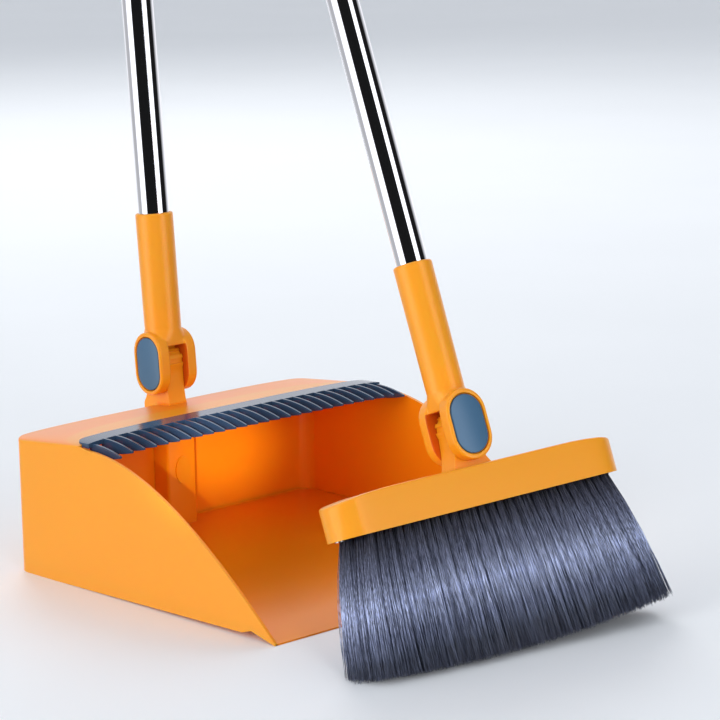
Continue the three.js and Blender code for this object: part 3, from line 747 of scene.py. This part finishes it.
for label, body, radius, joint_z, top_z, place in poles:
    foot_z = socket_floor + 3.6
    inner = radius - tube_wall
    lengths = (
        ("lower", foot_z, joint_z - ring / 2 - gap), ("upper", joint_z + ring / 2 + gap, top_z),
    )
    for name, low, high in lengths:
        tube = spun([(inner, low), (radius, low), (radius, high), (inner, high)])
        nodes = [f"{label}_pole_{name}_tube"]
        add_piece(f"{label}_tube_{name}", tube, place, chrome, body, nodes, 0.0002)
    thin, wide, half_ring = inner - gap, radius + ring_stand, ring / 2
    joiner = spun([
        (0, joint_z - spigot), (thin, joint_z - spigot), (thin, joint_z - half_ring),
        (wide - ring_round, joint_z - half_ring), (wide, joint_z - half_ring + ring_round),
        (wide, joint_z + half_ring - ring_round), (wide - ring_round, joint_z + half_ring),
        (thin, joint_z + half_ring), (thin, joint_z + spigot), (0, joint_z + spigot),
    ])
    add_piece(label + "_joiner", joiner, place, orange, body, [label + "_pole_joiner"], 0.0002)
    dress(label + "_pole_plug", nylon)


# ---- Grips -------------------------------------------------------------------------------------
# A ribbed orange sleeve is pressed over the top of each pole and drawn out into a flat eye, by
# which the tool hangs on a hook.
grip_overlap, grip_length, eye_radius, hole_radius, eye_thick = 74, 98, 11, 7, 8
grip_wall, grip_bore, crest_round = 2.2, 0.6, 9
rib_start, rib_pitch, rib_count, rib_swell, rib_groove = 12, 11, 5, 0.6, 0.5
for label, body, radius, joint_z, top_z, place in poles:
    foot, outer, bore = top_z - grip_overlap, radius + grip_wall, radius + grip_bore
    outline = [(bore, foot), (outer - 0.6, foot), (outer, foot + 3)]
    for i in range(rib_count):
        z = foot + rib_start + rib_pitch * i
        outline += [
            (outer, z - 2), (outer + rib_swell, z), (outer - rib_groove, z + 2),
            (outer - rib_groove, z + 5), (outer + rib_swell, z + 7),
        ]
    crest = arc(outer - crest_round, top_z + 2, crest_round, 0, 90, 6)
    outline += [(outer, top_z - 4)] + crest
    outline += [(0, top_z + 2 + crest_round), (0, top_z + gap), (bore, top_z + gap)]
    sleeve = spun(outline)
    eye_z = foot + grip_length
    flat = [(-eye_radius, top_z + 1), (eye_radius, top_z + 1)]
    eye = bar(-eye_thick / 2, eye_thick / 2, flat + arc(0, eye_z, eye_radius, 0, 180, 20))
    hole = rod_x(hole_radius, 20)
    bmesh.ops.translate(hole, vec=(0, 0, eye_z), verts=hole.verts)
    grip = joined(sleeve, boolean(eye, hole))
    add_piece(label + "_grip", grip, place, orange, body, [label + "_pole_grip"], 0.0008)


# ---- Broom block -------------------------------------------------------------------------------
# A hollow orange moulding, long and round-ended, whose top falls slightly towards both ends. The
# hinge lug stands on the middle of it, turned a quarter so that the pole folds along the block.
block_half, block_thick, block_height, end_drop, drop_span = 116.5, 38, 26.5, 4, 45
block_round, block_wall, lug_height = 1.6, 2.4, 54
broom_place = broom_pin @ broom_turn @ MM @ Matrix.Translation((0, 0, -lug_height))
half_thick = block_thick / 2
straight = block_half - half_thick
block = bmesh.new()
push(block, draw(block, [
    (x, y, 0) for x, y in arc(straight, 0, half_thick, -90, 90, 20)
    + arc(-straight, 0, half_thick, 90, 270, 20)
]), (0, 0, block_height))
rim = [e for e in block.edges if all(v.co.z > block_height - 1e-4 for v in e.verts)]
round_off(block, rim, block_round, 3)
cuts = 9
for i in range(-cuts, cuts + 1):
    cut = i / cuts * (block_half - 1)
    parts = list(block.verts) + list(block.edges) + list(block.faces)
    bmesh.ops.bisect_plane(block, geom=parts, plane_co=(cut, 0, 0), plane_no=(1, 0, 0))
for vert in block.verts:
    beyond = max(abs(vert.co.x) - block_half + drop_span, 0) / drop_span
    if vert.co.z > block_height / 2:
        vert.co.z -= end_drop * beyond ** 2
bottom = [face for face in block.faces if face.normal.z < -0.9]
bmesh.ops.delete(block, geom=bottom, context="FACES")
block = shaped(block, (
    "SOLIDIFY", {"thickness": block_wall, "offset": -1, "use_even_offset": True},
))
lug = hinge_lug(15, 15, block_height - lug_height - 0.5)
quarter_z = Matrix.Rotation(math.pi / 2, 3, "Z")
bmesh.ops.rotate(lug, cent=(0, 0, 0), matrix=quarter_z, verts=lug.verts)
bmesh.ops.translate(lug, vec=(0, 0, lug_height), verts=lug.verts)
block = joined(block, lug)
add_piece("block", block, broom_place, orange, "broom_head", ["broom_block"], 0.0005)

# The plate that holds the tufts closes the block from below. Two zinc-plated screws fix it.
dress("tuft_plate", slate)
dress("plate_screw_left", zinc)
dress("plate_screw_right", zinc)


# ---- Bristles ----------------------------------------------------------------------------------
# Fine polyester bristles, dark blue-grey, stapled into the plate in rows of round tufts. A lilac
# sheen across their middle is painted into their colour as a painted highlight, and they are
# painted darker towards the roots, as painted shade under the block, and towards the tips.
# They splay towards both ends and the front, and their trim rises towards the ends.
random.seed(11)
tuft_columns, tuft_rows, strands_each, bundles = 27, 6, 115, 5
tuft_half, row_half, row_bend, tuft_radius = 105.5, 12, 14, 2.9
bristle_length, splay_x, splay_front, splay_back, strand_radius = 98.5, 0.18, 0.55, 0.1, 0.21
joints_each, shortest, tip_scatter, end_rise, floor_gap = 5, 0.955, 1.5, 7, 0.3
bow_out, bow_side, bow_scatter, tuft_lean_x, tuft_lean_y, fan = 0.12, 0.1, 0.5, 1.6, 1.2, 0.9

fibre, fibre_shader, wire = new_material("bristle_fibre", {"IOR": 1.5, "Specular IOR Level": 0.6})
coords = wire.make("TexCoord", {}, {}, "Object")
block_up = broom_turn.to_3x3() @ Vector((0, 0, 1))
block_foot = broom_place @ Vector((0, 0, 0))
reach = (block_foot.dot(block_up) - coords.dot(block_up)) * (1000 / bristle_length)
turn_back = broom_turn.to_euler()
lock = wire.make("Mapping", {"vector_type": "TEXTURE"}, {
    "Vector": coords, "Rotation": turn_back,
})
stretched = wire.make("Mapping", {}, {"Vector": lock, "Scale": (1500, 900, 12)})
streak = wire.make("TexNoise", {}, {"Vector": stretched, "Scale": 1.0, "Detail": 3.0})
contrast = wire.make("MapRange", {}, {"Value": streak, "From Min": 0.33, "From Max": 0.67})
# Painted sheen and shade: near black at the roots as painted shade, a bright lilac band across the
# middle as a painted highlight, and darker towards the tips; streak noise varies it at random.
painted_sheen_and_shade = wire.make("ValToRGB", {"stops": [
    (0.0, (0.008, 0.008, 0.014, 1)), (0.12, (0.045, 0.048, 0.075, 1)),
    (0.30, (0.14, 0.155, 0.235, 1)), (0.48, (0.36, 0.40, 0.56, 1)),
    (0.68, (0.14, 0.16, 0.25, 1)), (0.85, (0.05, 0.058, 0.09, 1)), (1.0, (0.03, 0.034, 0.055, 1)),
]}, {"Fac": reach})
streaked_painted_sheen = wire.make("Mix", {"data_type": "RGBA", "blend_type": "MULTIPLY"}, {
    "Factor": 1.0, "A": painted_sheen_and_shade, "B": contrast.mix((0.30, 0.30, 0.33, 1), (2.5, 2.5, 2.45, 1)),
}, "Result")
drive(fibre_shader, "Base Color", streaked_painted_sheen)
drive(fibre_shader, "Roughness", streak * 0.2 + 0.25)

floor_normal = broom_turn.to_3x3().transposed() @ Vector((0, 0, 1))
floor_level = -block_foot.z * 1000


def strand(root, lean):
    """Points from a root in the plate to the tip, which stops at the trim or at the floor."""
    length = bristle_length * random.uniform(shortest, 1.0)
    splay_y = splay_front if root.y < 0 else splay_back
    tip = Vector((
        root.x * (1 + splay_x) + lean.x + random.gauss(0, tip_scatter),
        root.y * (1 + splay_y) + lean.y + random.gauss(0, tip_scatter),
        -length + end_rise * (root.x / tuft_half) ** 2,
    ))
    lowest, root_drop, drop = (
        floor_level + floor_gap, root.dot(floor_normal), tip.dot(floor_normal),
    )
    if drop < lowest:
        tip = root + (tip - root) * ((lowest - root_drop) / (drop - root_drop))
    bow_x = bow_out * (tip.x - root.x) + random.gauss(0, bow_scatter)
    bow = Vector((bow_x, bow_side * (tip.y - root.y), 0))
    shares = [k / (joints_each - 1) for k in range(joints_each)]
    return [root.lerp(tip, share) + bow * (4 * share * (1 - share)) for share in shares]


strands = []
for column in range(tuft_columns):
    for row in range(tuft_rows):
        offset = 0.5 * ((row // 2 + 1) % 2)
        share = (column + offset) / (tuft_columns - 0.5)
        row_y = row_half * (2 * row / (tuft_rows - 1) - 1)
        row_end = tuft_half - row_bend + math.sqrt(row_bend ** 2 - row_y ** 2)
        hole = Vector((row_end * (2 * share - 1), row_y, 0.9))
        lean = Vector((random.gauss(0, tuft_lean_x), random.gauss(0, tuft_lean_y), 0))
        for i in range(strands_each):
            angle, spread = random.uniform(0, math.tau), tuft_radius * math.sqrt(random.random())
            root = hole + Vector((math.cos(angle), math.sin(angle), 0)) * spread
            strands.append(strand(root, lean + (root - hole) * fan))

for part in range(bundles):
    curve = bpy.data.curves.new("bristles", "CURVE")
    curve.dimensions = "3D"
    curve.bevel_depth = strand_radius / 1000
    curve.bevel_resolution = 0
    curve.use_fill_caps = True
    first, last = part * len(strands) // bundles, (part + 1) * len(strands) // bundles
    for points in strands[first:last]:
        spline = curve.splines.new("POLY")
        spline.points.add(joints_each - 1)
        for point, corner in zip(spline.points, points):
            point.co = (broom_place @ corner).to_4d()
        spline.points[-1].radius = 0.55
    held = bpy.data.objects.new("work", curve)
    scene.collection.objects.link(held)
    depsgraph = bpy.context.evaluated_depsgraph_get()
    data = bpy.data.meshes.new_from_object(held.evaluated_get(depsgraph))
    bpy.data.objects.remove(held)
    bpy.data.curves.remove(curve)
    data.name = f"bristles_{part + 1}"
    data.shade_smooth()
    data.materials.clear()
    data.materials.append(fibre)
    bundle = bpy.data.objects.new(data.name, data)
    scene.collection.objects.link(bundle)
    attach(bundle, "broom_head")
    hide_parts("bristle_pack")
